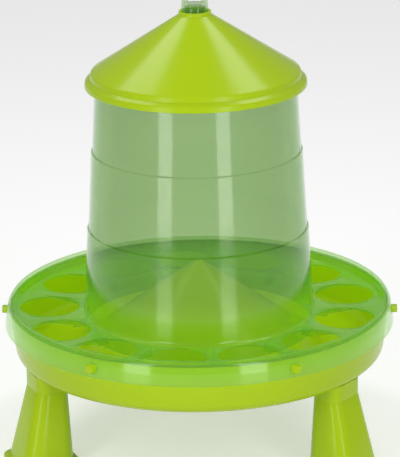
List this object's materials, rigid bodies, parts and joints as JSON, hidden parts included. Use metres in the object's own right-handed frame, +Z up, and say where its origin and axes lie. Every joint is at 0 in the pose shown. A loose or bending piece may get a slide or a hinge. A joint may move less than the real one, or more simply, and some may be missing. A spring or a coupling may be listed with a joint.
{
  "type": "poultry tower feeder",
  "caption": "Tower feeder for hens: tapered see-through hopper moulded with a ring of feeding holes, over a round pan on short flared legs, with a conical lid and a hanging eye.",
  "frame": {"origin": "on the ground below the middle of the feeder's box, 6 mm behind the feeder's own upright axis, because the rear foot reaches further out than the ring in front", "axes": "+Z up, -Y towards the front with two of the three legs, +X to the right seen from the front"},
  "size_m": [0.3672, 0.3724, 0.44],
  "materials": {
    "opaque_lime": "smooth moulded lime polypropylene",
    "clear_green": "translucent green polypropylene, smooth"
  },
  "bodies": {
    "root": {"base_pan": "opaque_lime", "hopper": "clear_green", "lid": "opaque_lime", "hanger": "clear_green", "leg_left": "opaque_lime", "leg_right": "opaque_lime", "leg_rear": "opaque_lime"}
  },
  "joints": []
}
